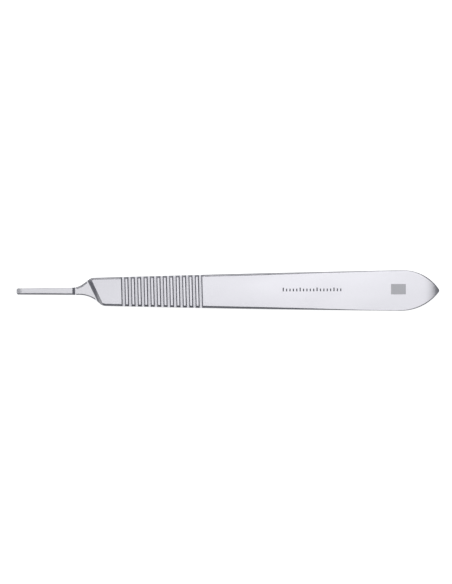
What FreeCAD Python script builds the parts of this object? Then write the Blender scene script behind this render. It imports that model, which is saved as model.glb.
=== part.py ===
import FreeCAD, Part
import math
import os

# Scalpel handle for detachable blades: one piece of stainless steel, forged flat, milled and polished.
# Lengths are in millimetres and angles in degrees.
# The handle lies on its lower broad face. X runs along it, with the blade fitting at -X and the pointed
# tail at +X. Y runs across it and Z is up, out of the broad face that carries the blade.
# The origin is on the lower face, at the middle of the length.

# Body
overall_length = 125.0
front_width = 8.32  # across the body where it starts, just behind the blade fitting
belly_width = 10.62  # across the corner points at the middle, which the long edges bow inside
tail_width = 11.86  # across the body where the tail starts to close
belly_place = 70.0  # from the nose
edge_bow_reach = 22.0  # the long edges bow from this far before the corner points to as far past them
front_thickness = 3.1
tail_thickness = 1.9

# Tail, an arch that closes to a blunt point. One side has a soft corner, where the body ends a little proud.
tail_length = 11.6
crown_length = 10.2  # from the tip to the soft corner
crown_width = 12.16  # twice the soft corner's distance from the middle line
crown_turn = 5.0  # how far the outline turns in after the soft corner
crown_land = 0.5
crown_radius = 4.0
tip_radius = 0.8
roll_length = 5.6  # both broad faces roll off towards the tip over this length, along part of an ellipse
roll_run = 3.0  # from the tip to the ellipse's own end
top_roll_drop = 0.7
under_roll_drop = 0.3

# Rounding of the long edges, even along the grip. Polishing leaves it narrow where the tail starts, and wider
# again at the tip.
front_edge_round = 0.7
tail_edge_round = 0.14
tip_edge_round = 0.3

# Neck, which narrows from the body to the tongue. The two sides differ, because the shoulder is slanted.
tongue_offset = 0.2  # the tongue's middle line lies this far to +Y
tongue_front_width = 1.84
tongue_rear_width = 2.12
upper_neck_setback = 18.14  # from the nose to the corner between tongue and flare
lower_neck_setback = 21.5
upper_flare_angle = 36.4
lower_flare_angle = 40.0
upper_neck_radius = 6.0
lower_neck_radius = 8.1
body_corner_radius = 2.6

# Seat, the step that the blade's heel lies on, and the slanted shoulder behind it
seat_height = 1.6
seat_upper_round = 0.65  # rounding of the seat's long edges, on the upper side and on the lower
seat_lower_round = 0.35
shoulder_setback = 23.75  # from the nose to the shoulder's top edge, on the middle line
shoulder_skew = 26.0  # the shoulder's turn away from square to the handle
shoulder_slope = 59.0
shoulder_base_round = 0.4
shoulder_edge_round = 0.25
shoulder_land = 0.3  # the seat that stays in one piece with the shoulder, in front of its rounded foot

# Lug, the raised bar that the blade's slot slides over and snaps behind
lug_length = 16.5
lug_rise = 1.15  # above the seat at its rear end
lug_nose_rise = 1.08  # and at the start of the lead-in
lead_length = 1.6
lead_drop = 0.16
lug_rear_slope = 59.0
lug_base_round = 0.45
lug_heel = 0.1  # from the lug's rounded foot to where the seat's edges start to be rounded
lug_front_round = 0.45  # rounding of the lug's lower long edge at the nose
lug_rear_round = 0.25  # and at its rear end
lug_upper_round = 0.12
upper_nose_radius = 0.42
lower_nose_radius = 0.55

# Side slots under the lug's head, which hold the edges of the blade's slot
slot_length = 11.4
slot_height = 0.42
web_width = 1.2

# Underside of the tongue, milled clear of what the handle lies on
relief_setback = 23.6  # from the nose to where the relief starts
relief_slope = 30.0
relief_radius = 3.0
relief_edge_round = 0.5
neck_relief = 0.75
nose_relief = 0.9

# Grip, flat-bottomed grooves across both broad faces, milled square to the upper long edge
groove_count = 13
groove_pitch = 1.894
grip_gap = 7.86  # from the shoulder's top edge to the first groove's middle
groove_width = 1.22  # between the walls' top edges
groove_depth = 0.45
groove_slope = 65.0
groove_foot_round = 0.2
ridge_round = 0.13

# Cutters reach this far past the metal, and the lead-in's arc runs on by this angle
clear = 2.0
run_on_angle = 5.0

# A milled edge's rounding runs out into the broad face at this angle, and then on past the metal
exit_angle = 15.0
exit_run = 0.15

# Two points closer than this are one
near = 0.0001

# Below this height the seat is one with the blank, and above it with its own plate
seat_joint = seat_height / 2

# Places along the handle
nose_x = -overall_length / 2
tip_x = overall_length / 2
lug_rear_x = nose_x + lug_length
shoulder_x = nose_x + shoulder_setback
belly_x = nose_x + belly_place
tail_x = tip_x - tail_length
crown_x = tip_x - crown_length
roll_x = tip_x - roll_length
groove_x = shoulder_x + grip_gap
grip_end_x = groove_x + groove_count * groove_pitch

# The broad face falls evenly from the shoulder to the tip
top_fall = math.degrees(math.atan2(front_thickness - tail_thickness, tip_x - shoulder_x))


def top_height(x):
    return front_thickness - (x - shoulder_x) * math.tan(math.radians(top_fall))


def line(start, end):
    return Part.LineSegment(start, end).toShape()


def heading(start, end):
    return (end - start).normalize()


def rounded_path(corners):
    """Edges along an open row of (point, radius), with a tangent arc of that radius at each inner corner."""
    edges = []
    start = corners[0][0]
    for before, (corner, radius), after in zip(corners, corners[1:], corners[2:]):
        back = heading(corner, before[0])
        ahead = heading(corner, after[0])
        half_angle = back.getAngle(ahead) / 2
        if radius > 0:
            reach = radius / math.tan(half_angle)
            inset = radius / math.sin(half_angle) - radius
            first = corner + back * reach
            last = corner + ahead * reach
            edges.append(line(start, first))
            edges.append(Part.Arc(first, corner + (back + ahead).normalize() * inset, last).toShape())
            start = last
        else:
            edges.append(line(start, corner))
            start = corner
    edges.append(line(start, corners[-1][0]))
    return edges


def bow_radius(before, corner, after):
    """The radius of the arc tangent to both sides of the corner that starts and ends edge_bow_reach from it."""
    return edge_bow_reach * math.tan(heading(corner, before).getAngle(heading(corner, after)) / 2)


def tail_arc(start, inward, tip_middle):
    """The arc that leaves start square to inward and meets the tip's round, and the point where they meet."""
    gap = start - tip_middle
    radius = (tip_radius**2 - gap.Length**2) / (2 * (gap.dot(inward) + tip_radius))
    centre = start + inward * radius
    end = centre + heading(centre, tip_middle) * radius
    middle = centre + (heading(centre, start) + heading(centre, end)).normalize() * radius
    return Part.Arc(start, middle, end).toShape(), end


def body_corner(flare_start, side, flare_angle):
    """Where the neck's flare meets the body's long edge, on the upper (1) or lower (-1) side."""
    run = (front_width / 2 - side * flare_start.y) / math.tan(math.radians(flare_angle))
    return FreeCAD.Vector(flare_start.x + run, side * front_width / 2, 0)


def tongue_side(x, side):
    """A point on the tongue's long side at x."""
    share = (x - nose_x) / lug_length
    width = tongue_front_width + (tongue_rear_width - tongue_front_width) * share
    return FreeCAD.Vector(x, tongue_offset + side * width / 2, 0)


def plan(upper_nose, lower_nose):
    """The handle's outline from above, with these radii at the nose, as a solid taller than the handle."""
    upper_neck = tongue_side(nose_x + upper_neck_setback, 1)
    lower_neck = tongue_side(nose_x + lower_neck_setback, -1)
    upper_front = body_corner(upper_neck, 1, upper_flare_angle)
    lower_front = body_corner(lower_neck, -1, lower_flare_angle)
    upper_belly = FreeCAD.Vector(belly_x, belly_width / 2, 0)
    lower_belly = FreeCAD.Vector(belly_x, -belly_width / 2, 0)
    crown = FreeCAD.Vector(crown_x, crown_width / 2, 0)
    turned_in = math.radians(-crown_turn)
    upper_tail = crown + FreeCAD.Vector(math.cos(turned_in), math.sin(turned_in), 0) * crown_land
    lower_tail = FreeCAD.Vector(tail_x, -tail_width / 2, 0)
    corners = [
        (upper_tail, 0),
        (crown, crown_radius),
        (upper_belly, bow_radius(upper_front, upper_belly, crown)),
        (upper_front, body_corner_radius),
        (upper_neck, upper_neck_radius),
        (tongue_side(nose_x, 1), upper_nose),
        (tongue_side(nose_x, -1), lower_nose),
        (lower_neck, lower_neck_radius),
        (lower_front, body_corner_radius),
        (lower_belly, bow_radius(lower_front, lower_belly, lower_tail)),
        (lower_tail, 0),
    ]
    tip_middle = FreeCAD.Vector(tip_x - tip_radius, 0, 0)
    upper_way = heading(crown, upper_tail)
    lower_way = heading(lower_belly, lower_tail)
    upper_arc, upper_end = tail_arc(upper_tail, FreeCAD.Vector(upper_way.y, -upper_way.x, 0), tip_middle)
    lower_arc, lower_end = tail_arc(lower_tail, FreeCAD.Vector(-lower_way.y, lower_way.x, 0), tip_middle)
    tip_arc = Part.Arc(lower_end, FreeCAD.Vector(tip_x, 0, 0), upper_end).toShape()
    outline = Part.Wire(Part.__sortEdges__(rounded_path(corners) + [lower_arc, tip_arc, upper_arc]))
    return Part.Face(outline).extrude(FreeCAD.Vector(0, 0, front_thickness + clear))


def across(edges, reach=crown_width):
    """A side view's closed edges, in the XZ plane, made a solid that reaches this far to both sides."""
    face = Part.Face(Part.Wire(Part.__sortEdges__(edges)))
    face.translate(FreeCAD.Vector(0, -reach, 0))
    return face.extrude(FreeCAD.Vector(0, 2 * reach, 0))


def side_point(x, z):
    return FreeCAD.Vector(x, 0, z)


def box_view(x0, x1, z0, z1):
    """The closed edges of an upright rectangle, from the side."""
    corners = [side_point(x0, z0), side_point(x1, z0), side_point(x1, z1), side_point(x0, z1)]
    return [line(start, end) for start, end in zip(corners, corners[1:] + corners[:1])]


def tip_roll(start, way, outward, drop):
    """A side view's quarter ellipse that leaves start along way, falls by drop up to the tip and ends past it."""
    reach = roll_length + roll_run
    depth = drop / (1 - math.sqrt(1 - (roll_length / reach) ** 2))
    centre = start - outward * depth
    past = centre + way * reach
    return Part.ArcOfEllipse(Part.Ellipse(past, start, centre), 0, math.pi / 2).toShape(), past


def blank():
    """The flat, tapered blank with its rolled-off tip, before anything is milled from it."""
    fall = math.radians(top_fall)
    down_the_top = FreeCAD.Vector(math.cos(fall), 0, -math.sin(fall))
    out_of_the_top = FreeCAD.Vector(math.sin(fall), 0, math.cos(fall))
    top_start = side_point(roll_x, top_height(roll_x))
    under_start = side_point(roll_x, 0)
    top_roll, top_past = tip_roll(top_start, down_the_top, out_of_the_top, top_roll_drop)
    under_roll, under_past = tip_roll(under_start, side_point(1, 0), side_point(0, -1), under_roll_drop)
    front_x = nose_x - clear
    front_top = side_point(front_x, top_height(front_x))
    front_under = side_point(front_x, 0)
    side_view = [top_roll, under_roll, line(top_past, under_past), line(top_start, front_top)]
    side_view += [line(front_top, front_under), line(front_under, under_start)]
    return plan(0, 0).common(across(side_view))


def long_edge_round(x):
    """The long edges' rounding at x, which narrows behind the grip and widens again along the tail."""
    if x > crown_x:
        return tail_edge_round + (tip_edge_round - tail_edge_round) * (x - crown_x) / crown_length
    share = max(x - grip_end_x, 0) / (crown_x - grip_end_x)
    return front_edge_round + (tail_edge_round - front_edge_round) * share


def ends(edge):
    return edge.Vertexes[0].Point, edge.Vertexes[-1].Point


def round_edges(shape, radii):
    """shape with some edges rounded. radii gives an edge's radius at its first and last end, or None."""
    document = FreeCAD.newDocument("handle")
    base = document.addObject("Part::Feature", "base")
    base.Shape = shape
    rounding = document.addObject("Part::Fillet", "rounding")
    rounding.Base = base
    chosen = []
    for number, edge in enumerate(base.Shape.Edges, start=1):
        pair = radii(edge)
        if pair:
            chosen.append((number, pair[0], pair[1]))
    rounding.Edges = chosen
    document.recompute()
    rounded = rounding.Shape.copy()
    FreeCAD.closeDocument(document.Name)
    return rounded


def long_edge_radii(edge):
    """Radii for the edges of the two broad faces. Upright edges and those of the square nose have none."""
    first, last = ends(edge)
    upright = math.hypot(first.x - last.x, first.y - last.y) < near
    if upright or max(first.x, last.x) < nose_x + near:
        return None
    return long_edge_round(first.x), long_edge_round(last.x)


def milled_wall(edge, foot_z, side, slope, edge_radius):
    """A wall's foot, the corner that its edge is rounded at and the way that this rounding runs out of the
    metal. The wall leans to side (1 or -1 along X) by slope, and edge is its sharp edge in the broad face."""
    up = math.copysign(1, edge.z - foot_z)
    wall = math.radians(slope)
    leaving = math.radians(exit_angle)
    up_the_wall = side_point(side * math.cos(wall), up * math.sin(wall))
    out = side_point(side * math.cos(leaving), up * math.sin(leaving))
    inset = edge_radius * (math.tan(wall / 2) - math.tan((wall - leaving) / 2))
    foot = edge - up_the_wall * (abs(edge.z - foot_z) / math.sin(wall))
    return foot, edge - up_the_wall * inset, out


def step_cutter(edge, flat, slope, edge_radius):
    """A step's side view, as a cutter's closed edges. The wall leans by slope from the edge it leaves in the
    broad face down to its foot. flat is a row of (point, radius) from past the nose to near the foot, and the
    foot's own height and radius end it."""
    foot_z, foot_radius = flat[-1]
    foot, corner, out = milled_wall(edge, foot_z, 1, slope, edge_radius)
    past = corner + out * clear
    over_past = side_point(past.x, past.z + math.copysign(clear, edge.z - foot_z))
    far = flat[0][0]
    over_far = side_point(far.x, over_past.z)
    path = rounded_path(flat[:-1] + [(foot, foot_radius), (corner, edge_radius), (past, 0)])
    return path + [line(past, over_past), line(over_past, over_far), line(over_far, far)]


def cut_seat(steel):
    """Takes everything above the seat, from the slanted shoulder forward, and the blank's front end. Apart
    from a land at the shoulder's foot it goes deeper, to make room for the seat's own plate."""
    edge = side_point(shoulder_x, front_thickness)
    foot = milled_wall(edge, seat_height, 1, shoulder_slope, shoulder_edge_round)[0]
    foot_reach = shoulder_base_round * math.tan(math.radians(shoulder_slope) / 2)
    land_x = foot.x - foot_reach - shoulder_land
    flat = [(side_point(nose_x - clear, seat_joint), 0), (side_point(land_x, seat_joint), 0)]
    flat += [(side_point(land_x, seat_height), 0), (seat_height, shoulder_base_round)]
    cutter = across(step_cutter(edge, flat, shoulder_slope, shoulder_edge_round), shoulder_setback)
    cutter.rotate(FreeCAD.Vector(shoulder_x, 0, 0), FreeCAD.Vector(0, 0, 1), shoulder_skew)
    front = across(box_view(nose_x - clear, lug_rear_x, -clear, front_thickness + clear))
    return steel.cut([cutter, front])


def seat_plate():
    """The plate with the seat on it, from inside the lug to inside the body."""
    return plan(0, 0).common(across(box_view(lug_rear_x, shoulder_x + front_width / 2, seat_joint, seat_height)))


def seat_edge_radii(edge):
    """Radii for the long edges of the seat."""
    first, last = ends(edge)
    if min(first.z, last.z) < seat_height - near or abs(first.x - last.x) < near:
        return None
    radius = seat_upper_round if first.y > tongue_offset else seat_lower_round
    return radius, radius


def lead_in(start, way):
    """A side view's arc that leaves start along way and falls by lead_drop over lead_length, run on past it."""
    radius = (lead_length**2 + lead_drop**2) / (2 * lead_drop)
    angle = math.asin(lead_length / radius) + math.radians(run_on_angle)
    outward = side_point(way.z, -way.x)
    centre = start - outward * radius
    middle = centre + (way * math.sin(angle / 2) + outward * math.cos(angle / 2)) * radius
    past = centre + (way * math.sin(angle) + outward * math.cos(angle)) * radius
    return Part.Arc(start, middle, past).toShape(), past


def tongue():
    """The tongue with the lug on it, from the nose to just behind the lug."""
    slope = math.radians(lug_rear_slope)
    rear_top = side_point(lug_rear_x, seat_height + lug_rise)
    lead_top = side_point(nose_x + lead_length, seat_height + lug_nose_rise)
    foot = side_point(lug_rear_x + lug_rise / math.tan(slope), seat_height)
    seat_end = foot + side_point(lug_base_round * math.tan(slope / 2) + lug_heel, 0)
    lead, lead_past = lead_in(lead_top, heading(rear_top, lead_top))
    path = rounded_path([(seat_end, 0), (foot, lug_base_round), (rear_top, 0), (lead_top, 0)])
    front = side_point(lead_past.x, neck_relief / 2)
    end = side_point(seat_end.x, front.z)
    path += [lead, line(lead_past, front), line(front, end), line(end, seat_end)]
    return plan(upper_nose_radius, lower_nose_radius).common(across(path))


def cut_relief(steel):
    """Lifts the tongue's underside off what the handle lies on."""
    edge = side_point(nose_x + relief_setback, 0)
    flat = [(side_point(nose_x - clear, nose_relief), 0), (neck_relief, relief_radius)]
    return steel.cut(across(step_cutter(edge, flat, relief_slope, relief_edge_round)))


def cut_slots(steel):
    """Cuts the slots under the lug's head that hold the edges of the blade's slot."""
    reach = crown_width / 2
    slots = []
    for side in (1, -1):
        near_y = tongue_offset + side * web_width / 2
        corner = FreeCAD.Vector(nose_x - clear, min(near_y, near_y + side * reach), seat_height)
        slots.append(Part.makeBox(slot_length + clear, reach, slot_height, corner))
    return steel.cut(slots)


def groove_view():
    """A flat-bottomed groove with rounded lips, as a cutter's closed edges. The metal's face is at z = 0."""
    feet = []
    corners = []
    tops = []
    for side in (-1, 1):
        edge = side_point(side * groove_width / 2, 0)
        foot, corner, out = milled_wall(edge, -groove_depth, side, groove_slope, ridge_round)
        feet.append((foot, groove_foot_round))
        corners.append((corner, ridge_round))
        tops.append((corner + out * exit_run, 0))
    path = rounded_path([tops[0], corners[0], feet[0], feet[1], corners[1], tops[1]])
    return path + [line(tops[1][0], tops[0][0])]


def cut_grip(steel):
    """Cuts the grooves across both broad faces, square to the upper long edge."""
    front_corner = body_corner(tongue_side(nose_x + upper_neck_setback, 1), 1, upper_flare_angle)
    upper_edge = heading(front_corner, FreeCAD.Vector(belly_x, belly_width / 2, 0))
    turn = math.degrees(math.asin(upper_edge.y))
    grooves = []
    for number in range(groove_count):
        x = groove_x + number * groove_pitch
        top_groove = across(groove_view())
        top_groove.rotate(FreeCAD.Vector(), FreeCAD.Vector(0, 1, 0), top_fall)
        under_groove = across(groove_view())
        under_groove.rotate(FreeCAD.Vector(), FreeCAD.Vector(1, 0, 0), 180)
        for groove, z in ((top_groove, top_height(x)), (under_groove, 0)):
            groove.rotate(FreeCAD.Vector(), FreeCAD.Vector(0, 0, 1), turn)
            groove.translate(side_point(x, z))
            grooves.append(groove)
    return steel.cut(grooves)


def lug_round(place):
    """The rounding of the lug's top edge at a place on it: wide on the lower side, narrow on the upper."""
    lower = lug_front_round + (lug_rear_round - lug_front_round) * (place.x - nose_x) / lug_length
    upper_y = tongue_side(place.x, 1).y
    lower_y = tongue_side(place.x, -1).y
    return lug_upper_round + (lower - lug_upper_round) * (upper_y - place.y) / (upper_y - lower_y)


def lug_edge_radii(edge):
    """Radii for the edges of the lug's top, apart from the sharp one that the blade snaps behind."""
    first, last = ends(edge)
    on_top = min(first.z, last.z) > seat_height + slot_height
    at_heel = min(first.x, last.x) > lug_rear_x - near
    if on_top and not at_heel and max(first.x, last.x) < lug_rear_x + near:
        return lug_round(first), lug_round(last)
    return None


steel = round_edges(blank(), long_edge_radii)
steel = cut_seat(steel)
steel = steel.fuse([round_edges(seat_plate(), seat_edge_radii), round_edges(tongue(), lug_edge_radii)])
steel = cut_relief(steel)
steel = cut_slots(steel)
steel = cut_grip(steel).removeSplitter()
os.makedirs("parts", exist_ok=True)
steel.exportStep("parts/handle.step")
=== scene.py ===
# %% [markdown]
# # Scalpel handle
# The real object is one flat bar of stainless steel, about 125 mm long. Its front end is milled into a thin
# fitting that a disposable blade slides on to, and behind it lie a slanted shoulder, a grooved grip and a
# long plain body that ends in a soft point. Everything is one solid, so this scene adds no loose pieces: it
# gives the solid the finish, the marks, the light and the view of a product photograph.

# %% Load the frame
import math

import bpy
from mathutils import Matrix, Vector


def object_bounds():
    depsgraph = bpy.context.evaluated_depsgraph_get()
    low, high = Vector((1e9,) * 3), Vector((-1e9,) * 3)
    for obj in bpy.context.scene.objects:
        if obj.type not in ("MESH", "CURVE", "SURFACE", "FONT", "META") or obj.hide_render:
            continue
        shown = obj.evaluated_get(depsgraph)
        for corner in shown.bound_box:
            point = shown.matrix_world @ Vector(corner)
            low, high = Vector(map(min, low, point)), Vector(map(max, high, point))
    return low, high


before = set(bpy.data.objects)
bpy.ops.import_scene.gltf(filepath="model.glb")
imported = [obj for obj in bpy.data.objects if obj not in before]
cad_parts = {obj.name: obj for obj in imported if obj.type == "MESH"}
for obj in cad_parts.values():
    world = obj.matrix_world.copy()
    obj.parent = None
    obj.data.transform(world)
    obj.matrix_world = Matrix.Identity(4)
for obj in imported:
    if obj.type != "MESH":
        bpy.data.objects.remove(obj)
cad_low, cad_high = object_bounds()
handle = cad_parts["handle"]
bpy.ops.object.select_all(action="DESELECT")
mm = 0.001
print("handle", [round((high - low) / mm, 2) for low, high in zip(cad_low, cad_high)], "mm")

# %% [markdown]
# ## Helpers for materials
# A material is a small network of nodes. Two helpers keep the cells below short. The first turns a colour
# that is written as an sRGB hex value, as a paint program shows it, into the linear numbers that the shaders
# work with. The second adds a node, sets its options and fills or links its inputs in one call.


# %% Helpers
def linear(code):
    """An sRGB hex colour as linear red, green, blue and alpha."""
    parts = [int(code[place:place + 2], 16) / 255 for place in (1, 3, 5)]
    return [part / 12.92 if part <= 0.04045 else ((part + 0.055) / 1.055) ** 2.4 for part in parts] + [1.0]


def add(tree, kind, inputs, **settings):
    """Adds a node. inputs holds a value or another node's output for each input, by name or number."""
    node = tree.nodes.new(kind)
    for name, value in settings.items():
        setattr(node, name, value)
    for name, value in inputs.items():
        if isinstance(value, bpy.types.NodeSocket):
            tree.links.new(value, node.inputs[name])
        else:
            node.inputs[name].default_value = value
    return node


def new_material(name):
    """An empty material, its node tree and its output node."""
    material = bpy.data.materials.new(name)
    material.use_nodes = True
    material.node_tree.nodes.clear()
    output = add(material.node_tree, "ShaderNodeOutputMaterial", {})
    return material, material.node_tree, output


print("white as linear", linear("#FFFFFF"))

# %% [markdown]
# ## Masks
# The handle is one piece of steel, but its surface isn't the same everywhere. A mask is a number from 0 to 1
# that says how far a point of the surface lies inside a zone. It is worked out from the point's own place on
# the handle with a few steps of arithmetic, so it needs no painted picture and stays sharp at any size.

# %% Masks
mask_blur = 0.04 * mm


def calculate(tree, operation, *values):
    """One step of arithmetic on numbers or other nodes' outputs."""
    return add(tree, "ShaderNodeMath", dict(enumerate(values)), operation=operation).outputs[0]


def above(tree, value, edge):
    """1 where value is above edge and 0 where it is below, with a soft change between."""
    past = calculate(tree, "SUBTRACT", value, edge)
    limits = {"From Min": -mask_blur / 2, "From Max": mask_blur / 2}
    return add(tree, "ShaderNodeMapRange", {"Value": past, **limits}).outputs[0]


def between(tree, value, low, high):
    """1 where value lies from low to high."""
    not_past = calculate(tree, "SUBTRACT", 1.0, above(tree, value, high))
    return calculate(tree, "MULTIPLY", above(tree, value, low), not_past)


def place_on_handle(tree):
    """The point's place, and its X, Y and Z, in metres from the handle's origin."""
    place = add(tree, "ShaderNodeTexCoord", {}).outputs["Object"]
    split = add(tree, "ShaderNodeSeparateXYZ", {0: place}).outputs
    return place, split["X"], split["Y"], split["Z"]


print("masks change over", mask_blur / mm, "mm")

# %% [markdown]
# ## Zones of the finish
# The broad faces were ground and satin polished along the handle. The tongue, the seat and the grooves were
# milled, and they keep the cutter's finer and duller marks, which run across the handle. The shoulder's top
# edge is slanted, so the front zone's limit follows it. The grooves are found by how deep a point lies
# below the broad faces, which fall evenly from the shoulder to the tip. Their zone stops a little inside the
# side walls, which spread as the handle widens, so that the walls keep one finish all along. The groove
# walls are a zone of their own, and they are painted darker as painted shade in the grooves.

# %% Zones of the finish
shoulder_x = cad_low.x + 23.75 * mm
shoulder_skew = math.radians(26.0)
tip_thickness = 1.9 * mm
grip_start = cad_low.x + 30.5 * mm
grip_end = cad_low.x + 55.5 * mm
half_width_at_shoulder = 4.16 * mm
edge_spread = 0.0245  # how much farther out the side wall lies for each length along the handle
side_margin = 0.25 * mm
skin = 0.06 * mm  # a point that lies deeper than this is in a groove
wall_depth = 0.40 * mm  # and one that lies deeper than this is on a groove's floor


def front_zone(tree, x, y):
    """The tongue and the seat, up to the shoulder's top edge."""
    slanted = calculate(tree, "MULTIPLY_ADD", y, math.tan(shoulder_skew), x)
    return calculate(tree, "SUBTRACT", 1.0, above(tree, slanted, shoulder_x))


def groove_zones(tree, x, y, z):
    """Everything in the grip that lies more than a skin below the broad faces, and the walls alone, which get
    painted shade.
    """
    fall = (cad_high.z - tip_thickness) / (cad_high.x - shoulder_x)
    top = calculate(tree, "MULTIPLY_ADD", x, -fall, tip_thickness + cad_high.x * fall)
    depth = calculate(tree, "MINIMUM", calculate(tree, "SUBTRACT", top, z), z)
    inside = calculate(tree, "MULTIPLY", above(tree, depth, skin), between(tree, x, grip_start, grip_end))
    limit_at_origin = half_width_at_shoulder - side_margin - shoulder_x * edge_spread
    limit = calculate(tree, "MULTIPLY_ADD", x, edge_spread, limit_at_origin)
    inboard = calculate(tree, "SUBTRACT", limit, calculate(tree, "ABSOLUTE", y))
    cut = calculate(tree, "MULTIPLY", inside, above(tree, inboard, 0.0))
    above_floor = calculate(tree, "SUBTRACT", 1.0, above(tree, depth, wall_depth))
    return cut, calculate(tree, "MULTIPLY", cut, above_floor)


print("grip from", round(grip_start / mm, 1), "to", round(grip_end / mm, 1), "mm")

# %% [markdown]
# ## Etched marks
# The upper face carries two plain marks. One is a row of fine graduation lines, one a millimetre, with every
# fifth one longer. The other is a small matt field nearer the tail. Etching eats the polish away, so both are
# duller and greyer than the steel round them.

# %% Etched marks
row_start = 16.3 * mm
row_pitch = 1.0 * mm
row_count = 18
row_foot = -0.09 * mm
line_width = 0.34 * mm
line_length = 0.82 * mm
long_line_length = 1.1 * mm
long_line_every = 5.0
field_x = (48.15 * mm, 52.55 * mm)
field_y = (-1.1 * mm, 1.98 * mm)
upper_side = 1.0 * mm  # what lies above this height belongs to the upper face


def graduation_lines(tree, x, y):
    """A row of short lines across the handle, with every fifth one longer."""
    along = calculate(tree, "MULTIPLY_ADD", x, 1 / row_pitch, -row_start / row_pitch)
    nearest = calculate(tree, "ROUND", along)
    away = calculate(tree, "ABSOLUTE", calculate(tree, "SUBTRACT", along, nearest))
    on_line = between(tree, calculate(tree, "MULTIPLY", away, row_pitch), -row_pitch, line_width / 2)
    place_in_five = calculate(tree, "FLOORED_MODULO", nearest, long_line_every)
    long = calculate(tree, "COMPARE", place_in_five, 0.0, 0.5)
    head = calculate(tree, "MULTIPLY_ADD", long, long_line_length - line_length, row_foot + line_length)
    in_row = calculate(tree, "MULTIPLY", between(tree, y, row_foot, head), on_line)
    ends = between(tree, x, row_start - row_pitch / 2, row_start + (row_count - 0.5) * row_pitch)
    return calculate(tree, "MULTIPLY", in_row, ends)


def matt_field(tree, x, y):
    """The small plain rectangle."""
    return calculate(tree, "MULTIPLY", between(tree, x, *field_x), between(tree, y, *field_y))


print(row_count, "graduation lines over", round((row_count - 1) * row_pitch / mm, 1), "mm")

# %% [markdown]
# ## Grain
# A grinding belt and a milling cutter leave marks that are much longer than they are wide. They could come
# from a photograph used as a texture, but noise that is stretched along one axis does the same at any
# distance and on every side. The real grain lines are about 0.04 mm apart, which is too fine to show here, so
# they are drawn four times as coarse, and the cutter's marks are drawn coarser too. A third noise with much
# wider spots stands for the patches where the belt has cut a little more or less.

# %% Grain
grain_length = 9.0 * mm
grain_width = 0.16 * mm
grain_depth = 0.0012 * mm
grain_detail = 3.0
mill_length = 3.0 * mm
mill_width = 0.12 * mm
mill_depth = 0.003 * mm
mill_detail = 2.0
patch_size = 14.0 * mm
patch_stretch = 2.5
patch_detail = 2.0


def stretched_noise(tree, place, length_x, length_y, length_z, detail):
    """Noise from 0 to 1 whose spots have these lengths."""
    scale = (1 / length_x, 1 / length_y, 1 / length_z)
    stretched = add(tree, "ShaderNodeMapping", {"Vector": place, "Scale": scale}).outputs[0]
    inputs = {"Vector": stretched, "Scale": 1.0, "Detail": detail}
    return add(tree, "ShaderNodeTexNoise", inputs).outputs["Fac"]


print("steel grain", grain_width / mm, "mm wide and", grain_length / mm, "mm long")

# %% [markdown]
# ## Satin stainless steel
# The handle is martensitic stainless steel that a fine belt has finished. To the eye it is a soft mirror,
# pale and hardly tinted, which blurs what it shows and is duller in patches. It could be one plain metal, but
# then the milled and etched places would look polished too. So the zones decide which grain makes the slight
# bump, how rough a point is and which tone it has.

# %% Satin stainless steel
patch_noise = (0.3, 0.7)
polished_roughness = (0.19, 0.25)
milled_roughness = 0.28
etched_roughness = 0.34
polished_colour = "#D3D2D7"
# the tongue and seat colour is painted light, lighter than the rest of the steel
fitting_painted_light_colour = "#E3E2E6"
# the groove walls' colour is painted shade, darker than the steel
wall_painted_shade_colour = "#9A9BA2"
field_colour = "#B2B2B6"
line_colour = "#56565D"


def blend(tree, share, low, high):
    """low where share is 0 and high where it is 1, for numbers."""
    inputs = {"Value": share, "To Min": low, "To Max": high}
    return add(tree, "ShaderNodeMapRange", inputs).outputs[0]


def blend_colours(tree, share, low, high):
    """low where share is 0 and high where it is 1, for colours. The node's colour inputs are 6 and 7."""
    inputs = {"Factor": share, 6: low, 7: high}
    return add(tree, "ShaderNodeMix", inputs, data_type="RGBA").outputs[2]


steel, tree, output = new_material("satin_stainless_steel")
place, x, y, z = place_on_handle(tree)
fitting = front_zone(tree, x, y)
grooves, shaded_walls = groove_zones(tree, x, y, z)
milled = calculate(tree, "MAXIMUM", fitting, grooves)
on_upper_side = above(tree, z, upper_side)
lines = calculate(tree, "MULTIPLY", graduation_lines(tree, x, y), on_upper_side)
field = calculate(tree, "MULTIPLY", matt_field(tree, x, y), on_upper_side)
etched = calculate(tree, "MAXIMUM", lines, field)

belt_grain = stretched_noise(tree, place, grain_length, grain_width, grain_width, grain_detail)
cutter_grain = stretched_noise(tree, place, mill_width, mill_length, mill_width, mill_detail)
patches = stretched_noise(tree, place, patch_stretch * patch_size, patch_size, patch_size, patch_detail)
belt_height = calculate(tree, "MULTIPLY", belt_grain, grain_depth)
cutter_height = calculate(tree, "MULTIPLY", cutter_grain, mill_depth)
height = blend(tree, milled, belt_height, cutter_height)
bump = add(tree, "ShaderNodeBump", {"Height": height, "Distance": 1.0, "Strength": 1.0}).outputs[0]

from_patches = {"Value": patches, "From Min": patch_noise[0], "From Max": patch_noise[1]}
to_roughness = {"To Min": polished_roughness[0], "To Max": polished_roughness[1]}
roughness = add(tree, "ShaderNodeMapRange", {**from_patches, **to_roughness}).outputs[0]
roughness = blend(tree, milled, roughness, milled_roughness)
roughness = blend(tree, etched, roughness, etched_roughness)
# painted light: the tongue and the seat get the lighter colour
colour = blend_colours(tree, fitting, linear(polished_colour), linear(fitting_painted_light_colour))
# painted shade: the groove walls get the darker colour
colour = blend_colours(tree, shaded_walls, colour, linear(wall_painted_shade_colour))
colour = blend_colours(tree, field, colour, linear(field_colour))
colour = blend_colours(tree, lines, colour, linear(line_colour))
shader = add(
    tree, "ShaderNodeBsdfPrincipled",
    {"Base Color": colour, "Metallic": 1.0, "Roughness": roughness, "Normal": bump},
)
tree.links.new(shader.outputs[0], output.inputs["Surface"])
handle.material_slots[0].material = steel
print("material", steel.name, "with", len(tree.nodes), "nodes")

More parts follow.
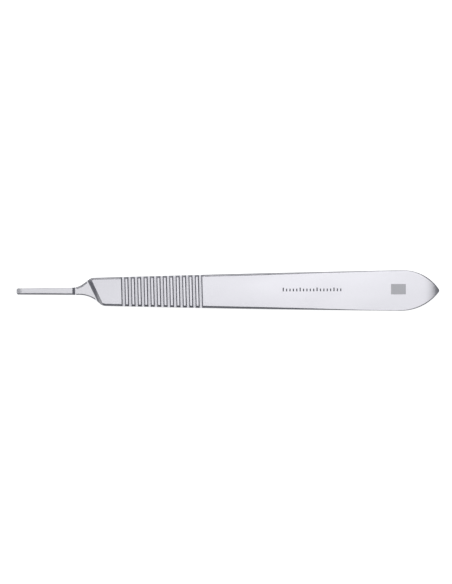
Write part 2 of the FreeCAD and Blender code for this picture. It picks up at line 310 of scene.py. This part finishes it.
# %% [markdown]
# ## Floor
# The handle lies on a table of white laminate, which is matt and shows no grain. The camera should see pure
# white there, yet the table must not throw more light on the steel than a plain one does. So the floor is an
# ordinary pale surface, and a glow is added that only the camera's rays see in full. Reflections see a small
# share of it, because a bright table that wraps round the rounded edges would eat the dark outline that sets
# the steel off from the white.

# %% Floor
floor_size = 6.0
table_white = "#EFEFEF"
glow_white = "#FFFFFF"
floor_glow = 0.85
reflected_share = 0.04

bpy.ops.mesh.primitive_plane_add(size=floor_size, location=(0, 0, cad_low.z))
floor = bpy.context.object
floor.name = "floor"
white_table, tree, output = new_material("white_laminate_table")
rays = add(tree, "ShaderNodeLightPath", {}).outputs
through = calculate(tree, "MAXIMUM", rays["Is Glossy Ray"], rays["Is Transmission Ray"])
reflected = calculate(tree, "MULTIPLY", through, reflected_share)
seen = calculate(tree, "MAXIMUM", rays["Is Camera Ray"], reflected)
strength = calculate(tree, "MULTIPLY", seen, floor_glow)
plain = add(tree, "ShaderNodeBsdfDiffuse", {"Color": linear(table_white)})
glow = add(tree, "ShaderNodeEmission", {"Color": linear(glow_white), "Strength": strength})
both = add(tree, "ShaderNodeAddShader", {0: plain.outputs[0], 1: glow.outputs[0]})
tree.links.new(both.outputs[0], output.inputs["Surface"])
floor.data.materials.append(white_table)
print("floor at", round(floor.location.z / mm, 3), "mm")

# %% [markdown]
# ## Room
# Flat polished steel shows what is above it, and not much else. Everything that leans away from the lights,
# such as the rounded edges and the groove walls, shows the room instead. A grey room therefore draws the dark
# outline, while the camera itself sees plain white behind the table.

# %% Room
room_grey = "#717377"
backdrop_white = "#FFFFFF"

world = bpy.data.worlds.new("studio_room")
bpy.context.scene.world = world
world.use_nodes = True
tree = world.node_tree
tree.nodes.clear()
output = add(tree, "ShaderNodeOutputWorld", {})
rays = add(tree, "ShaderNodeLightPath", {}).outputs
room = add(tree, "ShaderNodeBackground", {"Color": linear(room_grey), "Strength": 1.0}).outputs[0]
backdrop = add(tree, "ShaderNodeBackground", {"Color": linear(backdrop_white), "Strength": 1.0}).outputs[0]
mixed = add(tree, "ShaderNodeMixShader", {0: rays["Is Camera Ray"], 1: room, 2: backdrop})
tree.links.new(mixed.outputs[0], output.inputs["Surface"])
print("room", room_grey, "and backdrop", backdrop_white)

# %% [markdown]
# ## Light
# A large soft box hangs level above the handle and gives the broad face its even light tone. It ends sooner
# over the nose than over the tail, and a smaller, weaker box just below it lights the rear half alone. So
# the steel gets a shade brighter along the handle, and darkens in two steps where the tip rolls down. Two
# weak panels stand beyond the nose and beyond the upper edge and face the handle, so the edges and walls
# that lean that way stay lighter than the others. A mirror shows a light's brightness whatever its size, so
# the brightness is what is set here, and the power follows from it.

# %% Light
overhead_place = (0.07, 0.075, 0.55)
overhead_size = (0.46, 0.29)
overhead_brightness = 1.02
tail_place = (0.10, 0.075, 0.54)
tail_size = (0.20, 0.29)
tail_brightness = 0.27
nose_place = (-0.48, 0.15, 0.5)
nose_size = (0.4, 0.5)
upper_place = (0.05, 0.75, 0.4)
upper_size = (0.9, 0.5)
panel_brightness = 0.75


def soft_light(name, place, size, brightness):
    """A rectangular light that faces straight down. brightness is what a mirror below it would show."""
    bpy.ops.object.light_add(type="AREA", location=place)
    light = bpy.context.object
    light.name = name
    light.data.shape = "RECTANGLE"
    light.data.size = size[0]
    light.data.size_y = size[1]
    light.data.energy = brightness * math.pi * size[0] * size[1]
    return light


def face_handle(light):
    """Tilts a light until it faces the middle of the handle."""
    light.rotation_euler = light.location.to_track_quat("Z", "Y").to_euler()


soft_light("overhead_soft_box", overhead_place, overhead_size, overhead_brightness)
soft_light("tail_soft_box", tail_place, tail_size, tail_brightness)
face_handle(soft_light("nose_panel", nose_place, nose_size, panel_brightness))
face_handle(soft_light("upper_panel", upper_place, upper_size, panel_brightness))

# %% [markdown]
# ## Camera
# The photograph looks straight down from about a metre, through a long lens, so there is hardly any
# perspective. The handle lies almost level in the picture, turned by a quarter of a degree, and its middle
# is a little off the picture's middle. The camera's place follows from where the handle's ends lie in the
# picture, in its pixels.

# %% Camera
picture_width = 452
picture_height = 584
nose_px = 16.8
tip_px = 439.45
middle_px = (228.1, 291.37)
tilt = math.radians(0.227)
lens = 200.0
sensor = 36.0

handle_length = cad_high.x - cad_low.x
pixel = handle_length / (tip_px - nose_px)
distance = picture_height * pixel * lens / sensor
aim_x = (picture_width / 2 - middle_px[0]) * pixel
aim_y = (middle_px[1] - picture_height / 2) * pixel
middle_height = (cad_low.z + cad_high.z) / 2
location = (aim_x, aim_y, middle_height + distance)
bpy.ops.object.camera_add(location=location, rotation=(0, 0, -tilt))
camera = bpy.context.object
camera.data.lens = lens
camera.data.sensor_width = sensor
bpy.context.scene.camera = camera
bpy.context.scene.view_settings.view_transform = "Standard"
print("camera", round(distance, 3), "m above,", round(pixel / mm, 4), "mm a pixel")
